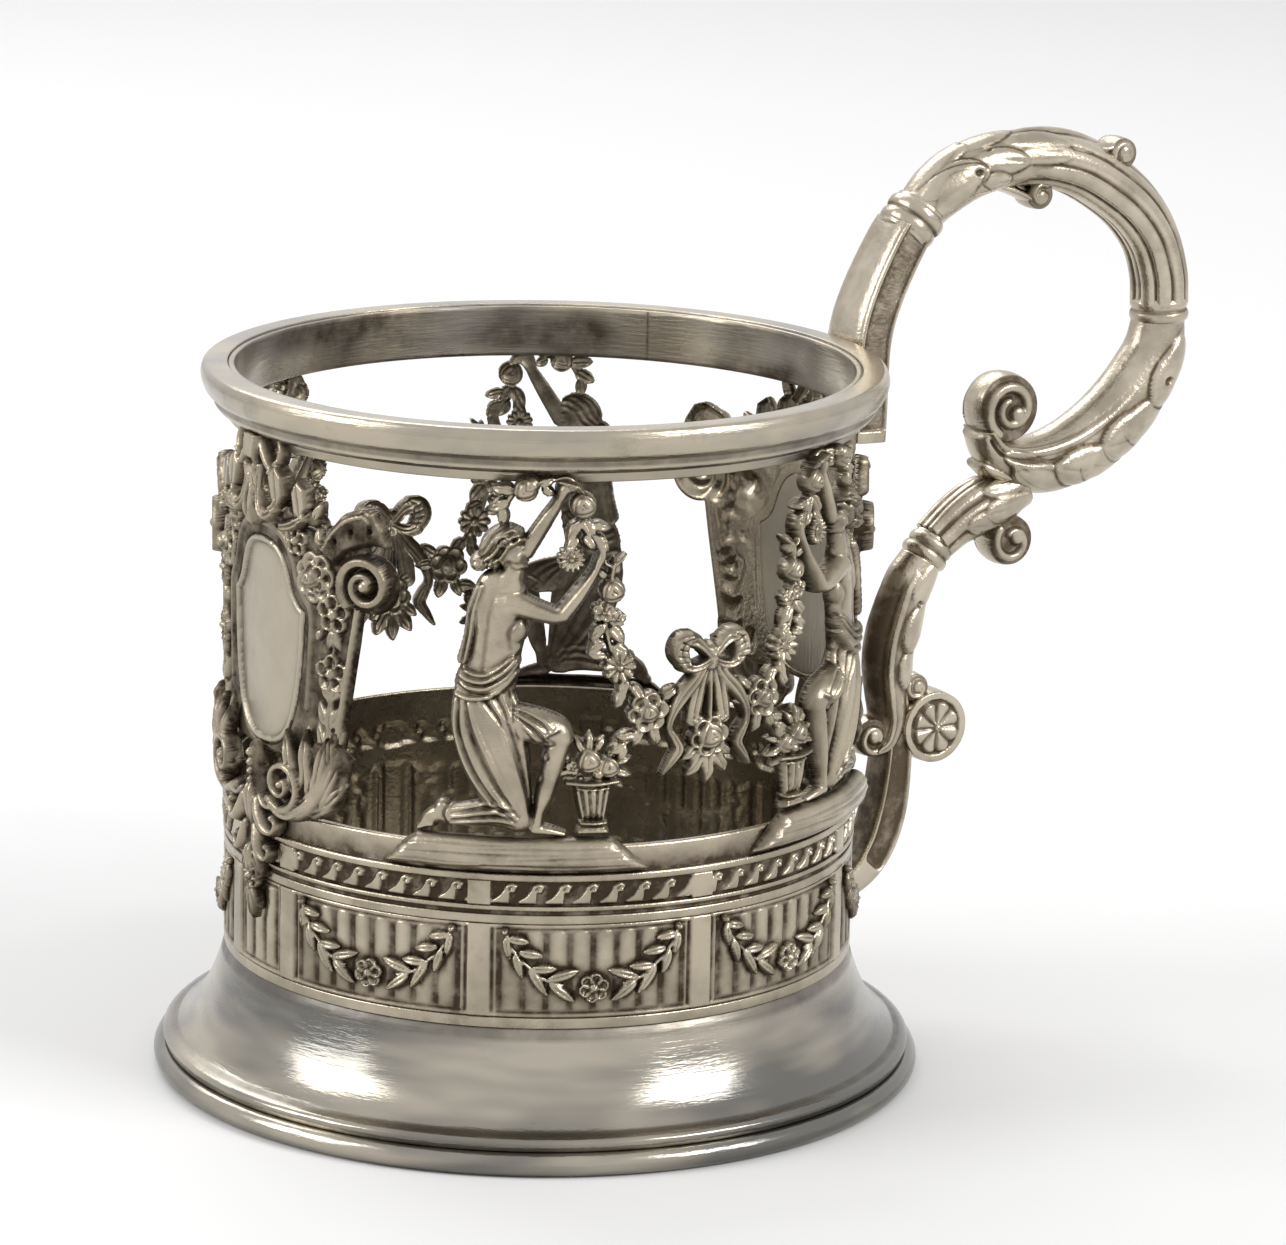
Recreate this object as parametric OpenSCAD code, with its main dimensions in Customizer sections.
// Footed tea glass holder with a figured gallery, a swagged frieze and a scrolled handle.
// Millimetres, +Z up, origin in the middle of the foot's underside, handle towards +X.

/* [Glass and rim] */
// Inner diameter of the collar that takes the tea glass
glass_bore_d = 67.6; // [62:0.1:76]
// Wall of the collar
collar_wall = 0.7; // [0.5:0.05:1.2]
// Height of the collar
collar_h = 5.8; // [4.6:0.1:9]
// How far the hoop stands out from the collar
hoop_reach = 3; // [2:0.1:5]
// Height of the hoop
hoop_h = 5; // [3.6:0.1:6]
// How far the hoop's top stands above the collar
hoop_lip = 0.2; // [0.1:0.05:0.6]

/* [Gallery] */
// Height of the open gallery between frieze and collar
gallery_h = 39; // [30:0.5:50]
// Thickness of the plates that stand in the gallery's wall
plate_t = 0.6; // [0.4:0.05:0.9]
// Height of the boldest relief above the back of the gallery
relief_h = 2.8; // [1.8:0.1:3.6]

/* [Frieze] */
// Height of the frieze between foot and gallery
frieze_h = 20; // [15:0.5:28]
// Wall of the frieze band
frieze_wall = 0.7; // [0.5:0.05:1.2]
// How far the frieze's mouldings stand out from its wall
moulding_t = 0.5; // [0.3:0.05:0.6]
// Width of a pilaster between two panels
pilaster_w = 2.3; // [1.4:0.1:3.4]
// Ridges in each wide panel
flute_count = 8; // [5:1:10]
// Running waves above each wide panel
wave_count = 8; // [5:1:10]

/* [Foot] */
// Diameter of the foot over its rolled edge
foot_d = 85.2; // [78:0.2:96]
// Height of the foot up to the frieze
foot_h = 14; // [10:0.5:20]
// Thickness of the rolled edge
foot_bead_d = 2.6; // [1.8:0.1:3.4]
// Wall of the foot's skirt
skirt_wall = 0.8; // [0.5:0.05:1.3]
// Width of the seat inside the skirt that carries the floor plate
seat_w = 3; // [2:0.1:5]
// Thickness of the floor plate
floor_t = 0.8; // [0.5:0.05:1.6]

/* [Handle] */
// How far the handle reaches out from the hoop
handle_reach = 48; // [40:0.5:56]
// How far the handle rises above the hoop
handle_rise = 22; // [16:0.5:28]
// Height from the handle's stem collar up to the hoop
handle_drop = 22; // [20:0.5:25]
// Thickness of the handle's loop
handle_tube_d = 7; // [5.4:0.1:8.4]
// Width of the strap that holds the handle to the hoop
strap_w = 8; // [6:0.1:10]
// Width of the handle's volutes and bosses
volute_w = 5.4; // [4:0.1:7]

/* [Hidden] */

// Play between two pieces that are brazed together
seam = 0.1;
// How far a cut runs past the faces that it opens
overrun = 1;
// Sides of a round wall
round_fn = 120;

bore_r = glass_bore_d / 2;
collar_r = bore_r + collar_wall;
hoop_r = collar_r + hoop_reach;
band_r = bore_r + frieze_wall;
foot_r = foot_d / 2;
gallery_r = bore_r + seam;
lift = max(band_r, collar_r) + seam - gallery_r;
mould_lift = band_r + moulding_t + seam - gallery_r;

frieze_z0 = foot_h;
gallery_z0 = frieze_z0 + frieze_h;
collar_z0 = gallery_z0 + gallery_h;
body_h = collar_z0 + collar_h + hoop_lip;
hoop_z0 = body_h - hoop_h;

// The relief is drawn on a grid. Its rows count up from the table, with fixed rows at the
// seams of the body, and its columns count round from an axis, 54 to a quarter turn. A table
// whose name ends in shares holds places on this grid, or shares of a size.
quarter_columns = 54;
column_turn = 90 / quarter_columns;
row_shares = [0, 14, 34, 74, 79, 101];
row_places = [0, frieze_z0, gallery_z0, hoop_z0, body_h, body_h + handle_rise];
row_table = [for (i = [0:len(row_shares) - 1]) [row_shares[i], row_places[i]]];
function up(row) = lookup(row, row_table);

// The handle's places out from the axis are drawn on the same kind of grid, with marks at the
// wall, at the hoop and at its reach
mark_shares = [34.5, 37.5, 85.5];
mark_places = [band_r, hoop_r, hoop_r + handle_reach];
out_table = [for (i = [0:len(mark_shares) - 1]) [mark_shares[i], mark_places[i]]];
function out(mark) = lookup(mark, out_table);

// Its rows are the body's, but the loop keeps its height below the hoop when the gallery grows
level_shares = [0, 14, 34, 52, 74, 79, 101];
level_places = [0, frieze_z0, gallery_z0, hoop_z0 - handle_drop, hoop_z0, body_h, body_h + handle_rise];
level_table = [for (i = [0:len(level_shares) - 1]) [level_shares[i], level_places[i]]];
function level(row) = lookup(row, level_table);

// Relief on the round wall

// Point on the wall from a column, a row and a height above the gallery's back
function bend(column, row, w) = let (a = column * column_turn)
    [(gallery_r + w) * cos(a), (gallery_r + w) * sin(a), up(row)];

// Point on the smooth curve through four neighbours
function curve(a, b, c, d, t) = (2 * b + (c - a) * t + (2 * a - 5 * b + 4 * c - d) * t * t
    + (3 * b - a - 3 * c + d) * t * t * t) / 2;
function smooth(rows, steps) = let (last = len(rows) - 1) [for (i = [0:last - 1], j = [0:steps - 1])
    curve(rows[max(i - 1, 0)], rows[i], rows[i + 1], rows[min(i + 2, last)], j / steps), rows[last]];

// Direction of a path at one of its points, as a unit vector in its first two values
function heading(rows, i) = let (a = rows[max(i - 1, 0)], b = rows[min(i + 1, len(rows) - 1)],
    d = [b[0] - a[0], b[1] - a[1]]) d / norm(d);

// Skin of triangles over rings of n points, with flat ends
function skin(rings, n) = concat(
    [[for (j = [n - 1:-1:0]) j]],
    [for (i = [0:rings - 2], j = [0:n - 1]) let (k = (j + 1) % n)
        [i * n + j, i * n + k, (i + 1) * n + j]],
    [for (i = [0:rings - 2], j = [0:n - 1]) let (k = (j + 1) % n)
        [i * n + k, (i + 1) * n + k, (i + 1) * n + j]],
    [[for (j = [0:n - 1]) (rings - 1) * n + j]]);

// Cross-section of a strip: shares of its half width and of its height
strip_shares = [[-1, 0], [-0.8, 0.72], [0, 1], [0.8, 0.72], [1, 0]];

// Raised strip along rows of [column, row, half width, share of the relief], its back flat
module strip(rows, back = 0) {
    n = len(strip_shares);
    points = [for (i = [0:len(rows) - 1]) let (r = rows[i], d = heading(rows, i))
        for (s = strip_shares) bend(r[0] - d[1] * s[0] * r[2], r[1] + d[0] * s[0] * r[2],
            back + s[1] * r[3] * (relief_h - back))];
    polyhedron(points, skin(len(rows), n));
}

// Pointed leaf from its foot towards a turn in degrees, with a ridge along its middle
module leaf(column, row, length, width, turn, h_share, back = 0) {
    c = cos(turn);
    s = sin(turn);
    tip = back + h_share * (relief_h - back) * 0.35;
    ridge = back + h_share * (relief_h - back);
    hull() polyhedron([bend(column, row, back),
        bend(column + c * length * 0.5 - s * width / 2, row + s * length * 0.5 + c * width / 2, back),
        bend(column + c * length, row + s * length, back),
        bend(column + c * length * 0.5 + s * width / 2, row + s * length * 0.5 - c * width / 2, back),
        bend(column + c * length * 0.4, row + s * length * 0.4, ridge),
        bend(column + c * length * 0.92, row + s * length * 0.92, tip)],
        [[0, 3, 2, 1], [0, 1, 4], [1, 5, 4], [1, 2, 5], [2, 3, 5], [3, 4, 5], [3, 0, 4]]);
}

// Round button, domed towards its middle
module button(column, row, r, h_share, back = 0, sides = 8) {
    rise = h_share * (relief_h - back);
    rings = [[1, 0], [0.95, 0.55], [0.6, 1]];
    points = [for (g = rings, j = [0:sides - 1]) let (a = 360 * j / sides)
        bend(column + r * g[0] * cos(a), row + r * g[0] * sin(a), back + g[1] * rise)];
    hull() polyhedron(points, [for (f = skin(len(rings), sides)) [for (k = [len(f) - 1:-1:0]) f[k]]]);
}

// Flower of rounded petals, its back flat and its middle raised
module flower(column, row, r, petals, h_share, back = 0) {
    n = petals * 2;
    rise = h_share * (relief_h - back);
    points = concat(
        [for (g = [[1, 0], [0.62, 0.8]], j = [0:n - 1])
            let (a = 360 * j / n + 18, q = r * g[0] * (j % 2 == 0 ? 1 : 0.66))
            bend(column + q * cos(a), row + q * sin(a), back + g[1] * rise)],
        [bend(column, row, back + rise)]);
    polyhedron(points, concat([[for (j = [0:n - 1]) j]],
        [for (j = [0:n - 1]) let (k = (j + 1) % n) [j, n + j, n + k]],
        [for (j = [0:n - 1]) let (k = (j + 1) % n) [j, n + k, k]],
        [for (j = [0:n - 1]) [n + j, 2 * n, n + (j + 1) % n]]));
}

// Spiral strip that winds in to its eye
module spiral(column, row, r, turns, start, hand, h_share, back = 0) {
    steps = ceil(turns * 5);
    strip([for (i = [0:steps])
        let (t = i / steps, a = start + hand * 360 * turns * t, q = r * (0.86 - 0.62 * t))
        [column + q * cos(a), row + q * sin(a), r * (0.15 - 0.04 * t), h_share]], back);
    button(column, row, r * 0.26, h_share * 0.9, back, 6);
}

// Flat outline of [column, row] points, as seen square to the wall at its axis
module patch(outline, r) {
    polygon([for (p = outline) [r * sin(p[0] * column_turn), up(p[1])]]);
}

// Part of a round wall seen through the flat outlines of its children
module bent_plate(inner_r, outer_r, sides = round_fn) {
    intersection() {
        ring(inner_r, outer_r, 0, body_h, sides);
        rotate([90, 0, 90]) linear_extrude(outer_r + overrun) children();
    }
}

module ring(inner_r, outer_r, z, h, sides = round_fn) {
    translate([0, 0, z]) difference() {
        cylinder(r = outer_r, h = h, $fn = sides);
        translate([0, 0, -overrun]) cylinder(r = inner_r, h = h + 2 * overrun, $fn = sides);
    }
}

function both_sides(half) = concat(half, [for (i = [len(half) - 1:-1:0]) [-half[i][0], half[i][1]]]);

// Foot

// The skirt's outer face: shares of the spread from band to edge, and of the foot's height
skirt_shares = [[0.01, 1], [0.05, 0.96], [0.11, 0.83], [0.2, 0.68], [0.32, 0.54], [0.48, 0.42],
    [0.66, 0.34], [0.78, 0.33], [0.78, 0.29], [0.7, 0.27], [0.75, 0.24], [0.86, 0.23]];
flare_points = 7;
bead_top_share = 0.96;

module foot_rim() {
    color("silver") rotate_extrude($fn = round_fn)
        translate([foot_r - foot_bead_d / 2, 0]) intersection() {
        translate([0, foot_bead_d * (bead_top_share - 0.5)]) circle(d = foot_bead_d, $fn = 32);
        translate([-foot_bead_d, 0]) square([foot_bead_d * 2, foot_bead_d]);
    }
}

module foot_skirt() {
    outer = [for (s = skirt_shares) [band_r + s[0] * (foot_r - band_r), s[1] * foot_h]];
    inner = [for (i = [flare_points - 1:-1:1]) outer[i] - [skirt_wall, skirt_wall * 0.5]];
    bead_top = foot_bead_d * bead_top_share;
    seat_r = bore_r - seat_w;
    color("gainsboro") rotate_extrude($fn = round_fn)
        polygon(concat(outer, [[outer[len(outer) - 1][0], bead_top], [inner[0][0], bead_top]], inner,
            [[bore_r, foot_h - skirt_wall], [seat_r, foot_h - skirt_wall], [seat_r, foot_h]]));
}

module floor_plate() {
    color("silver") translate([0, 0, foot_h]) cylinder(r = bore_r - seam, h = floor_t, $fn = round_fn);
}

// Frieze

// Rows of the mouldings and how far each stands out, as a share of moulding_t
moulding_shares = [[14, 15.3, 0.7], [25.5, 26.5, 0.7], [27, 27.5, 0.9], [30.2, 31, 1]];
panel_shares = [15.3, 25.5];
wave_row_shares = [27.6, 30.1];
narrow_turn = 9.6;
wide_turn = (90 - narrow_turn) / 2;
pilaster_turn = pilaster_w / band_r * 180 / PI;
panel_turns = [for (half = [0, 180], k = [-1.5, -0.5, 0.5, 1.5])
    half + k * wide_turn + sign(k) * narrow_turn];

// The swag's middle line: shares of the panel's half width and of its height, and its half
// height there as a share of the panel's height, with leaves as notches and a rosette in the middle
swag_shares = [[1, 0.9, 0.01], [0.86, 0.82, 0.09], [0.8, 0.7, 0.03], [0.7, 0.62, 0.11], [0.62, 0.52, 0.03],
    [0.52, 0.46, 0.11], [0.44, 0.4, 0.03], [0.34, 0.37, 0.1], [0.22, 0.32, 0.03], [0.15, 0.3, 0.13],
    [0.08, 0.3, 0.1], [0, 0.3, 0.15]];

// How far a strip's ground and its tallest ridge stand out, as shares of moulding_t, and the
// height of a flute's crest as a share of the tallest ridge
strip_share = 0.4;
ridge_share = 0.5;
crest_share = 0.75;

// Ridges of one panel as [turn, half turn, share of the ridge height, share of the half turn at the crest]
function ridges(middle, turn, count) = [for (k = [0:count - 1])
    [middle + ((k + 0.5) / count - 0.5) * turn, turn / count * 0.36, crest_share, 0.5]];
function pilaster(turn) = [[turn, pilaster_turn / 2, 1, 0.9]];
clear_turn = wide_turn - pilaster_turn * 1.1;
narrow_count = max(2, round(flute_count * 0.4));
narrow_clear_turn = narrow_turn * 2 - pilaster_turn * 1.1;
half_ridges = concat(
    pilaster(-90), ridges(panel_turns[0], clear_turn, flute_count),
    pilaster(-narrow_turn - wide_turn), ridges(panel_turns[1], clear_turn, flute_count),
    pilaster(-narrow_turn), ridges(0, narrow_clear_turn, narrow_count),
    pilaster(narrow_turn), ridges(panel_turns[2], clear_turn, flute_count),
    pilaster(narrow_turn + wide_turn), ridges(panel_turns[3], clear_turn, flute_count));

// Thin strip round the band between two rows, with ridges standing out from it
module ridged_strip(low, high, ridge_list) {
    base_r = band_r + moulding_t * strip_share;
    place = [for (half = [0, 180], g = ridge_list, s = [[-1, 0], [-g[3], g[2]], [g[3], g[2]], [1, 0]])
        let (a = half + g[0] + s[0] * g[1])
            (base_r + s[1] * moulding_t * ridge_share) * [cos(a), sin(a)]];
    translate([0, 0, up(low)]) linear_extrude(up(high) - up(low)) difference() {
        polygon(place);
        circle(r = band_r + seam / 4, $fn = round_fn * 4);
    }
}

// Plain band with its mouldings
module frieze_band() {
    color("lightgray") rotate_extrude($fn = round_fn) polygon(concat([[bore_r, frieze_z0]],
        [for (m = moulding_shares, s = [[m[0], 0], [m[0], 1], [m[1], 1], [m[1], 0]])
            if (s[0] > row_shares[1] || s[1] == 1) [band_r + s[1] * m[2] * moulding_t, up(s[0])]],
        [[band_r, gallery_z0], [bore_r, gallery_z0]]));
}

module fluted_strip() {
    color("gray") ridged_strip(panel_shares[0], panel_shares[1], half_ridges);
}

module wave_strip() {
    teeth = wave_count * 4;
    color("gray") ridged_strip(wave_row_shares[0], wave_row_shares[1],
        [for (k = [0:teeth - 1]) [(k + 0.5) * 180 / teeth, 60 / teeth, 0.9, 0.4]]);
}

// A swag across each wide panel, lying on the ridges
module frieze_swags() {
    inner_r = band_r + moulding_t * (strip_share + ridge_share * crest_share) + seam / 4;
    half = clear_turn / column_turn / 2 * 0.94;
    low = panel_shares[0];
    tall = panel_shares[1] - low;
    right = [for (s = swag_shares) [s[0] * half, low + (s[1] + s[2]) * tall]];
    under = [for (i = [len(swag_shares) - 1:-1:0]) let (s = swag_shares[i])
        [s[0] * half, low + (s[1] - s[2]) * tall]];
    outline = concat(right, [for (i = [len(right) - 2:-1:0]) [-right[i][0], right[i][1]]],
        [for (i = [len(under) - 1:-1:0]) [-under[i][0], under[i][1]]],
        [for (i = [1:len(under) - 1]) under[i]]);
    color("silver") for (t = panel_turns) rotate(t)
        bent_plate(inner_r, inner_r + moulding_t) patch(outline, inner_r);
}

// Rim

// Outline of the hoop: shares of its reach out from the collar, and of its height
hoop_shares = [[0, 0], [0.27, 0], [0.33, 0.1], [0.5, 0.13], [0.62, 0.2], [0.82, 0.42], [0.95, 0.62],
    [1, 0.78], [0.98, 0.9], [0.88, 0.98], [0.75, 1], [0.1, 0.985], [0, 0.95]];

module gallery_collar() {
    color("lightgray") ring(bore_r, collar_r, collar_z0, collar_h);
}

module rim_hoop() {
    color("silver") rotate_extrude($fn = round_fn)
        polygon([for (s = hoop_shares) [collar_r + s[0] * hoop_reach, hoop_z0 + s[1] * hoop_h]]);
}

// Cartouches, drawn about their own axis

plate_shares = [[0, 39.6], [8.6, 39.8], [12.6, 41], [14, 44], [14.6, 47], [15.6, 51], [16.2, 55], [16.8, 58],
    [17.6, 61.5], [16.8, 65], [15, 67.4], [13, 66.4], [10.4, 64.4], [6.5, 65.6], [3, 66.8], [0, 67]];
medallion_shares = [[0, 40.4], [3.2, 40.8], [5.2, 42.4], [6.6, 45.2], [7.4, 49], [7.8, 53], [7.8, 56.2],
    [6.3, 57.2], [5.1, 58.8], [3.9, 60.8], [2.2, 62.4], [0, 62.9]];

module cartouche() {
    front = plate_t * 0.9;
    color("darkgray") {
        bent_plate(gallery_r, gallery_r + plate_t, round_fn * 0.4) difference() {
            patch(both_sides(plate_shares), gallery_r);
            offset(delta = seam) patch(both_sides(medallion_shares), gallery_r);
        }
        for (hand = [-1, 1]) {
            spiral(hand * 17.2, 60.8, 3.3, 1.6, 90 + hand * 60, -hand, 1.15, front);
            strip([for (p = [[10.6, 63.4], [11.6, 66], [14.2, 67.9], [17, 66.6], [18.6, 64.6]])
                [hand * p[0], p[1], 1.2, 0.8]], front);
            flower(hand * 13, 56.9, 2, 5, 0.65, front);
            flower(hand * 13.2, 50.3, 2, 5, 0.65, front);
            flower(hand * 9.7, 60.6, 2.5, 6, 0.7, front);
            for (k = [-1, 1]) {
                leaf(hand * 13, 54.8, 2.6, 1.2, -90 + k * 26, 0.5, front);
                leaf(hand * 12.6, 48.4, 2.8, 1.4, -90 + k * 18, 0.5, front);
                leaf(hand * 12.2, 45.4, 2.8, 1.4, -90 + k * 18, 0.5, front);
            }
        }
    }
}

module medallion() {
    color("whitesmoke") {
        bent_plate(gallery_r, gallery_r + plate_t * 0.8) patch(both_sides(medallion_shares), gallery_r);
        bent_plate(gallery_r, gallery_r + plate_t * 1.8) difference() {
            patch(both_sides(medallion_shares), gallery_r);
            offset(delta = -plate_t * 1.5) patch(both_sides(medallion_shares), gallery_r);
        }
    }
}

// Foliage that joins a cartouche to the collar and the hoop
module crest() {
    color("silver") {
        strip([[-6.6, 70.4, 1.3, 0.5], [-3.4, 69.4, 1.1, 0.6], [0, 69, 1.2, 0.7], [3.4, 69.4, 1.1, 0.6],
            [6.6, 70.4, 1.3, 0.5]], lift);
        strip([[0, 67.3, 1.3, 0.6], [0, 70, 1.9, 0.9], [0, 72.4, 1.9, 1], [0, 73.9, 0.9, 0.7]], lift);
        for (hand = [-1, 1]) {
            leaf(0, 69.2, 5.2, 2, 90 - hand * 34, 0.9, lift);
            leaf(hand * 1.2, 68.6, 4.6, 1.8, 90 - hand * 62, 0.8, lift);
            leaf(hand * 4.2, 69.2, 4.4, 1.9, 90 - hand * 8, 0.7, lift);
            leaf(hand * 6.4, 70.2, 3.6, 1.8, 90 + hand * 22, 0.7, lift);
            leaf(hand * 6.4, 70.6, 3.8, 1.6, 90 - hand * 58, 0.6, lift);
            strip([[hand * 9.4, 67.7, 0.9, 0.5], [hand * 8.4, 70, 1, 0.6], [hand * 9, 73.6, 0.8, 0.5]], lift);
        }
        leaf(0, 69.6, 4.2, 2.4, 90, 1.1, lift);
    }
}

// Scrolls and drops that hang from a cartouche over the frieze
module pendant() {
    front = mould_lift;
    color("silver") {
        strip([[0, 38.9, 1, 0.6], [0, 36.6, 1.6, 0.8], [0, 34, 2, 0.8], [0, 31.6, 1.8, 0.8],
            [0, 28.6, 1.8, 0.8], [0, 26.4, 1.1, 0.7], [0, 23.4, 1, 0.6], [0, 21, 0.5, 0.4]], front);
        for (hand = [-1, 1]) {
            spiral(hand * 6.4, 37.2, 3.2, 1.6, 270, hand, 1.1, front);
            strip([[hand * 4.2, 35.6, 0.9, 0.6], [hand * 6.8, 34.5, 0.8, 0.8], [hand * 9.6, 35.4, 1.1, 0.8],
                [hand * 12, 38.2, 1.5, 0.8], [hand * 13.2, 41.4, 1, 0.6]], front);
            for (k = [0:2])
                leaf(hand * (8.4 + k * 1.6), 35.6 + k * 0.9, 5.8 - k * 0.9, 2.2, 90 + hand * (4 - k * 20),
                    0.8, front);
            spiral(hand * 3.6, 32.4, 1.7, 1.2, 90, -hand, 0.7, front);
            button(hand * 2.6, 29.3, 1.6, 0.7, front);
            leaf(0, 28.8, 3.4, 1.6, -90 + hand * 36, 0.7, front);
        }
        flower(0, 25.9, 1.5, 6, 0.9, front);
    }
}

// Pieces beside a bow, drawn to the left of the bow's axis and mirrored for the right

figure_shares = [
    // torso, neck and sash
    [[-22.7, 61, 1.9, 0.6], [-22.5, 59.4, 2.5, 0.78], [-22.5, 57.2, 3, 0.9], [-22.9, 55, 2.9, 0.82],
        [-23.6, 52.8, 2.6, 0.76], [-23.9, 50.4, 3, 0.8]],
    [[-21.5, 64.2, 0.8, 0.7], [-21.8, 60.8, 1.1, 0.72]],
    [[-27, 50.6, 0.5, 0.9], [-24.2, 50.2, 0.6, 1], [-21.9, 51.9, 0.6, 1], [-20.4, 54.8, 0.5, 0.94]],
    // skirt over the kneeling leg, with its shin and foot
    [[-23.8, 50.6, 3.2, 0.82], [-23.9, 47.8, 3.9, 0.92], [-23.3, 45, 3.9, 1], [-22.2, 42, 3.2, 0.95],
        [-21.2, 39.5, 2.1, 0.85], [-20.3, 37, 1.2, 0.7]],
    [[-20.4, 36.5, 1.2, 0.6], [-23.6, 37.4, 1.35, 0.64], [-27, 37.6, 1.25, 0.58], [-29.2, 37.5, 1.1, 0.5],
        [-30.6, 36.2, 0.9, 0.42]],
    // thigh, shin and foot of the leg set forward
    [[-20.8, 48.2, 1.6, 0.84], [-18, 47.9, 1.7, 0.94], [-16.2, 47, 1.6, 0.96], [-15.6, 45.6, 1.3, 0.9]],
    [[-15.9, 46.3, 1.4, 0.9], [-16.7, 43.5, 1.2, 0.82], [-17.7, 40.5, 1.1, 0.72], [-18.1, 37.5, 0.9, 0.66],
        [-17.9, 36.1, 0.9, 0.6]],
    [[-18.6, 35.8, 0.55, 0.55], [-16.8, 35.8, 0.6, 0.5], [-15.3, 35.6, 0.4, 0.36]],
    // cloth that hangs between the legs
    [[-19.2, 47.4, 1.2, 0.5], [-18.8, 44.5, 1.2, 0.46], [-18.3, 42.3, 0.8, 0.4]],
    // near arm and hand
    [[-20.9, 60.2, 1.1, 0.94], [-18.2, 59.3, 1, 1], [-15.8, 59.2, 0.95, 1]],
    [[-16, 59, 0.95, 1], [-14, 61.6, 0.8, 0.96], [-12.5, 63.8, 0.6, 0.9], [-12.1, 65.4, 0.7, 0.9],
        [-12.9, 67.4, 0.45, 0.8]],
    // raised arm and hand
    [[-20.4, 66, 0.8, 0.6], [-18, 69.5, 0.7, 0.62], [-16.6, 71.4, 0.55, 0.64], [-15.7, 72.4, 0.6, 0.66]]];
fold_shares = [[[-26.4, 48.6, 0.4, 0.96], [-24.8, 44, 0.4, 1.06], [-22, 39.4, 0.3, 1]],
    [[-23, 49, 0.4, 0.98], [-21.9, 44, 0.4, 1.08], [-20.6, 38.8, 0.3, 0.98]]];

module figure() {
    color("silver") {
        for (rows = figure_shares) strip(rows);
        for (rows = fold_shares) strip(rows);
        button(-21.6, 66.3, 2.4, 1, 0, 14);
        button(-24.3, 64.8, 1.3, 0.8);
        button(-20.2, 36.8, 1.2, 0.8);
        // hair drawn back to the knot
        for (k = [0:2]) leaf(-24.6, 65.2, 3.6, 0.9, 18 + k * 24, 1.04 - k * 0.02);
        // wing of cloth behind the waist
        for (k = [0:1]) leaf(-26, 51, 2.4, 1.2, 190 + k * 30, 0.7);
    }
}

mound_shares = [[-14.1, 31.5], [-13.2, 32.8], [-11.9, 34.2], [-10.6, 35.1], [10.2, 35.1], [11.7, 33.9],
    [13.1, 32.4], [14.1, 31.5]];

module mound() {
    color("gainsboro") rotate(-20.3 * column_turn)
        bent_plate(gallery_r + lift, gallery_r + lift + relief_h * 0.5) patch(mound_shares, gallery_r);
}

module vase() {
    color("silver") {
        strip([[-12.4, 35.3, 2, 0.55], [-12.4, 36.2, 1.7, 0.55], [-12.4, 36.9, 1.2, 0.6],
            [-12.4, 38.4, 1.6, 0.8], [-12.4, 40.2, 2.1, 0.9], [-12.5, 40.6, 2.6, 0.95],
            [-12.5, 41.2, 2.7, 0.95]]);
        flower(-12.9, 43.3, 1.4, 6, 0.9);
        flower(-10.8, 42.5, 1.1, 5, 0.8);
        flower(-14.8, 42.3, 1, 5, 0.7);
        leaf(-12.9, 43.8, 2.4, 1.1, 84, 0.6);
        leaf(-12.4, 41.4, 1.8, 1.4, 90, 0.6);
        leaf(-10.6, 41.6, 2, 1, 0, 0.6);
    }
}

// Upper strand from the collar to the hand, and lower strand from the hand to the bow and the vase
upper_strand_shares = [[-22.4, 69.6, 0.4, 0.5], [-21, 72, 0.45, 0.55], [-19.2, 73.1, 0.45, 0.6],
    [-17.6, 73.2, 0.4, 0.5], [-15.4, 74, 0.4, 0.4], [-14.1, 71.4, 0.45, 0.6], [-14.5, 68.2, 0.45, 0.6],
    [-14.9, 65.6, 0.4, 0.5]];
lower_strand_shares = [[-10.6, 64.6, 0.4, 0.5], [-10.6, 61.7, 0.5, 0.6], [-11.3, 59.2, 0.5, 0.6],
    [-11.3, 56.6, 0.4, 0.5], [-10.1, 53.6, 0.5, 0.6], [-9, 51.2, 0.5, 0.5], [-6.6, 49.4, 0.5, 0.6],
    [-8, 46.9, 0.4, 0.5], [-9.4, 45.4, 0.4, 0.5]];
// [column, row, radius, petals]
garland_flower_shares = [[-19.8, 72.7, 1.25, 6], [-14.2, 70.9, 1.4, 6], [-15.1, 65.4, 1.4, 6],
    [-10.7, 61.7, 1.5, 5],
    [-12, 59.6, 0.9, 5], [-10.7, 58.6, 0.9, 5], [-10, 53.6, 1.8, 6], [-6.4, 49.4, 2.1, 6]];
// [column, row, length, width, direction]
garland_leaf_shares = [[-20.8, 72.6, 2.4, 1.2, 170], [-21.8, 71, 2, 1.1, 200], [-22.3, 70, 1.8, 1, 260],
    [-18.4, 73.2, 2, 1, 10], [-14.4, 69.4, 2, 1, 210], [-14.2, 69.6, 2, 1, -40], [-10.5, 63.2, 2, 1, 80],
    [-11.4, 58, 2.2, 1.1, 230], [-11.1, 57.6, 2.2, 1.1, -50], [-11.4, 56, 2, 1, 220],
    [-9.3, 52.2, 2, 1, -100],
    [-7.6, 50.6, 2.2, 1.1, 140], [-5, 50.2, 1.9, 0.9, 20], [-6.2, 47.8, 2.4, 1.2, -85],
    [-7.6, 46.8, 2.2, 1, -60]];

module garland() {
    color("gainsboro") {
        strip(upper_strand_shares, lift);
        strip(lower_strand_shares, lift);
        for (f = garland_flower_shares) flower(f[0], f[1], f[2], f[3], 0.8, lift);
        for (f = garland_leaf_shares) leaf(f[0], f[1], f[2], f[3], f[4], 0.6, lift);
    }
}

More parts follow.
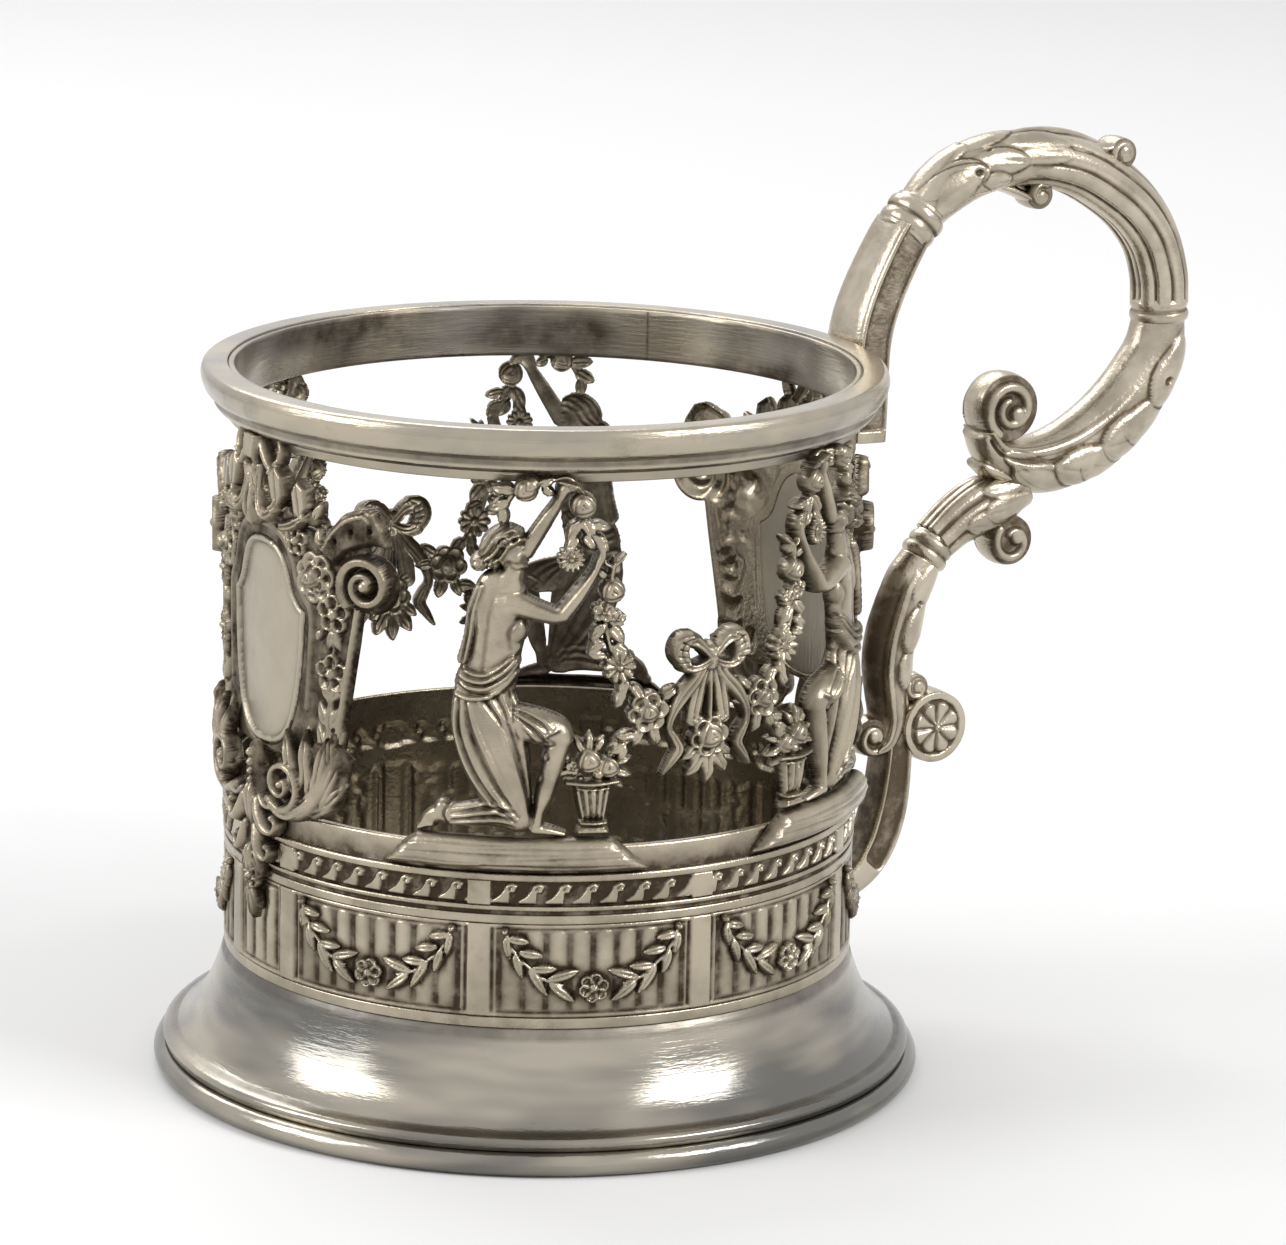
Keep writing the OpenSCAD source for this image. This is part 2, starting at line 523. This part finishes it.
module bow() {
    loop = [[-0.5, 54.4, 0.5, 0.7], [-1.8, 55.7, 0.55, 0.7], [-3.4, 56, 0.6, 0.6], [-4.3, 54.8, 0.6, 0.55],
        [-3.9, 53.3, 0.55, 0.6], [-2.4, 52.7, 0.5, 0.65], [-0.5, 53.5, 0.5, 0.7]];
    tail = [[-0.5, 53.3, 0.5, 0.6], [-1.2, 51, 0.55, 0.55], [-2.7, 49.6, 0.6, 0.5], [-3.6, 47.8, 0.55, 0.5],
        [-3.7, 46.2, 0.5, 0.45], [-3.2, 44.8, 0.5, 0.45], [-4.4, 42.8, 0.5, 0.4]];
    color("silver") {
        for (hand = [-1, 1], rows = [loop, tail])
            strip([for (r = rows) [-hand * r[0], r[1], r[2], r[3]]], lift);
        strip([[0, 54, 0.5, 0.6], [0, 49.6, 0.4, 0.55], [0, 46, 0.5, 0.6]], lift);
        button(0, 53.9, 1, 0.85, lift);
        flower(0, 45.1, 2.4, 7, 0.85, lift);
        for (k = [-1, 0, 1]) leaf(k * 0.6, 43.4, 3.1, 1.3, -90 + k * 28, 0.6, lift);
        for (k = [-1, 1]) leaf(0, 49.4, 2, 0.9, 90 - k * 40, 0.5, lift);
    }
}

// Place of a numbered piece: two to each bow, the second of the pair mirrored
module beside_bow(number) {
    rotate(number < 3 ? -90 : 90) mirror([0, number % 2 == 0 ? 1 : 0, 0]) children();
}

// Handle, drawn in the plane through the body's axis

thick = handle_tube_d / 2;

// Bar along rows of [out, up, half depth, half width], its ends flat. The last two are shares
// of half the loop's thickness, and corner runs from 0.4, nearly square, to 1, round.
module bar(rows, corner = 1, sides = 12) {
    place = [for (r = rows) [out(r[0]), level(r[1]), r[2] * thick, r[3] * thick]];
    points = [for (i = [0:len(place) - 1]) let (p = place[i], d = heading(place, i))
        for (j = [0:sides - 1]) let (a = 360 * (j + 0.5) / sides,
            c = sign(cos(a)) * pow(abs(cos(a)), corner), s = sign(sin(a)) * pow(abs(sin(a)), corner))
            [p[0] - d[1] * c * p[2], s * p[3], p[1] + d[0] * c * p[2]]];
    polyhedron(points, skin(len(place), sides));
}

// Round boss across the handle
module boss(mark, row, r, w) {
    translate([out(mark), w / 2, level(row)]) rotate([90, 0, 0]) cylinder(r = r, h = w, $fn = 40);
}

// Outline of a double bead: shares of its radius out from its axis and along it
beads_shares = [[0, -0.42], [0.86, -0.42], [1, -0.34], [1.06, -0.2], [1, -0.06], [0.92, 0], [1, 0.06],
    [1.06, 0.2], [1, 0.34], [0.86, 0.42], [0, 0.42]];

// Double bead round the handle where two lengths are brazed together
module collar_beads(mark, row, lean, r) {
    translate([out(mark), 0, level(row)]) rotate([0, lean, 0]) rotate_extrude($fn = 48)
        polygon([for (s = beads_shares) r * s]);
}

// Corners of a blade: shares of its length, of its width and of half the handle's thickness
blade_shares = [[0, 0, 0.8], [0.45, 0.5, 0.72], [1, 0, 0.8], [0.45, -0.5, 0.72], [0.45, 0, 1.14],
    [0.45, 0, 0.4]];

// Blade of a leaf lying along both faces of the handle
module blade(mark, row, length, width, turn) {
    points = [for (q = blade_shares)
        let (along = q[0] * length, across = q[1] * width)
        [out(mark) + (cos(turn) * along - sin(turn) * across) * thick, q[2] * thick,
            level(row) + (sin(turn) * along + cos(turn) * across) * thick]];
    for (side = [0, 1]) mirror([0, side, 0]) hull() polyhedron(points,
        [[0, 1, 4], [1, 2, 4], [2, 3, 4], [3, 0, 4], [1, 0, 5], [2, 1, 5], [3, 2, 5], [0, 3, 5]]);
}

strap_shares = [[40.2, 67], [40.3, 70], [40.4, 74], [40.6, 77.5], [41.2, 80.5], [42.4, 83.6], [43.9, 86.6],
    [45.5, 89.3]];
loop_shares = [[48.6, 92.6, 0.86, 0.9], [51, 94.6, 0.98, 0.96], [54.8, 96.5, 1, 1], [59.2, 97.4, 0.98, 1],
    [64, 97.4, 0.98, 1], [68.8, 96.2, 1, 1], [73.2, 93.8, 1, 0.98], [77.2, 90.8, 0.96, 0.94],
    [80.2, 87, 0.94, 0.92], [81.7, 82.8, 0.94, 0.92], [81.95, 79.7, 0.96, 0.94]];
lower_leaf_shares = [[81.9, 77.1, 0.98, 0.96], [81.2, 74, 1.12, 1], [79.8, 71, 1.26, 1.06],
    [77.4, 67.8, 1.36, 1.1], [74, 64.8, 1.34, 1.1], [70, 62.6, 1.3, 1.08], [66.2, 61.6, 1.2, 1],
    [62.4, 61.6, 1, 0.9],
    [58.6, 63, 0.7, 0.8], [57, 65.8, 0.5, 0.76]];
stem_shares = [[60.6, 58.2, 0.9, 0.86], [57.6, 57.4, 1, 0.86], [54.6, 56, 0.84, 0.8],
    [52.2, 54.3, 0.76, 0.74]];
lower_stem_shares = [[49.1, 51.2, 0.74, 0.74], [47.6, 48.6, 0.86, 0.8], [46.6, 45.8, 0.96, 0.84],
    [45.7, 42.8, 0.98, 0.86], [45.2, 39.6, 0.9, 0.86], [45.4, 36.6, 0.76, 0.84], [46.6, 34.4, 0.6, 0.8]];
tail_shares = [[46.5, 29.8, 0.5], [46.2, 26, 0.58], [45.7, 22.6, 0.62], [44.6, 19.2, 0.6], [42.6, 16.4, 0.54],
    [39.8, 14.4, 0.46], [36.4, 13.4, 0.36]];

module handle_strap() {
    half_w = strap_w / 2 / thick;
    last = len(strap_shares) - 1;
    color("gainsboro") bar([for (i = [0:last]) let (p = strap_shares[i], t = i / last)
        [p[0], p[1], 0.74 - 0.02 * t, half_w * (1 - 0.14 * t)]], 0.5, 16);
}

module handle_loop() {
    color("silver") {
        bar(smooth(loop_shares, 2));
        boss(75, 97.2, thick * 0.58, volute_w * 0.9);
        boss(63.6, 93.7, thick * 0.48, volute_w * 0.8);
        for (k = [0:3]) blade(52 + k * 4.4, 95.4 + k * 0.6, 1.5, 0.5, 28 - k * 12);
        for (k = [0:1]) blade(69.5 + k * 3.4, 96.8 - k * 1.4, 1.5, 0.5, -20 - k * 14);
    }
}

module handle_lower_leaf() {
    color("silver") {
        bar(smooth(lower_leaf_shares, 2));
        for (k = [0:3]) blade(79.6 - k * 3, 71 - k * 2.6, 1.7, 0.6, -110 - k * 14);
        for (k = [0:2]) blade(70 - k * 3, 63.4 - k * 0.4, 1.3, 0.6, 150 + k * 10);
        for (k = [0:1]) blade(62 - k * 3, 62 - k * 0.4, 1.1, 0.5, 200);
    }
}

module handle_rosettes() {
    r = thick * 1.2;
    color("silver") {
        boss(51, 32.4, r, volute_w);
        translate([out(51), 0, level(32.4)]) rotate([90, 0, 0]) {
            for (k = [0:7]) rotate(45 * k) translate([r * 0.64, 0])
                cylinder(r = r * 0.22, h = volute_w * 1.2, center = true, $fn = 20);
            cylinder(r = r * 0.3, h = volute_w * 1.3, center = true, $fn = 20);
        }
    }
}

module handle_foot_scroll() {
    color("silver") difference() {
        union() {
            boss(42.8, 31.8, thick * 0.63, volute_w * 0.84);
            bar([[42.6, 31.8, 0.5, 0.7], [40, 32, 0.42, 0.64], [37.8, 32, 0.4, 0.6]], 0.5, 8);
        }
        boss(51, 32.4, thick * 1.2 + seam, volute_w + overrun);
    }
}

module handle_tail() {
    half_w = volute_w / 2 / thick;
    color("gainsboro") bar(smooth([for (p = tail_shares) [p[0], p[1], p[2], half_w]], 2), 0.5, 12);
}

foot_rim();
foot_skirt();
floor_plate();
frieze_band();
fluted_strip();
wave_strip();
frieze_swags();
gallery_collar();
rim_hoop();
for (half = [["front", 180], ["rear", 0]]) rotate(half[1]) {
    cartouche();
    medallion();
    crest();
    pendant();
}
for (number = [1:4]) {
    beside_bow(number) figure();
    beside_bow(number) mound();
    beside_bow(number) vase();
    beside_bow(number) garland();
}
rotate(-90) bow();  // ribbon_bow_1
rotate(90) bow();  // ribbon_bow_2
handle_strap();
color("white") collar_beads(47, 91, 42, thick * 1.02);  // handle_upper_collar
handle_loop();
color("white") collar_beads(82, 78.4, 4, thick * 1.02);  // handle_middle_collar
handle_lower_leaf();
color("silver") boss(60.2, 68.8, thick * 1.14, volute_w);  // handle_thumb_volute
color("silver") boss(61.6, 52.6, thick * 0.82, volute_w * 0.86);  // handle_drop_volute
color("gainsboro") bar(smooth(stem_shares, 2));  // handle_stem
color("white") collar_beads(50.6, 52.8, 52, thick * 0.84);  // handle_stem_collar
color("silver") bar(smooth(lower_stem_shares, 2));  // handle_lower_stem
handle_rosettes();
handle_foot_scroll();
handle_tail();
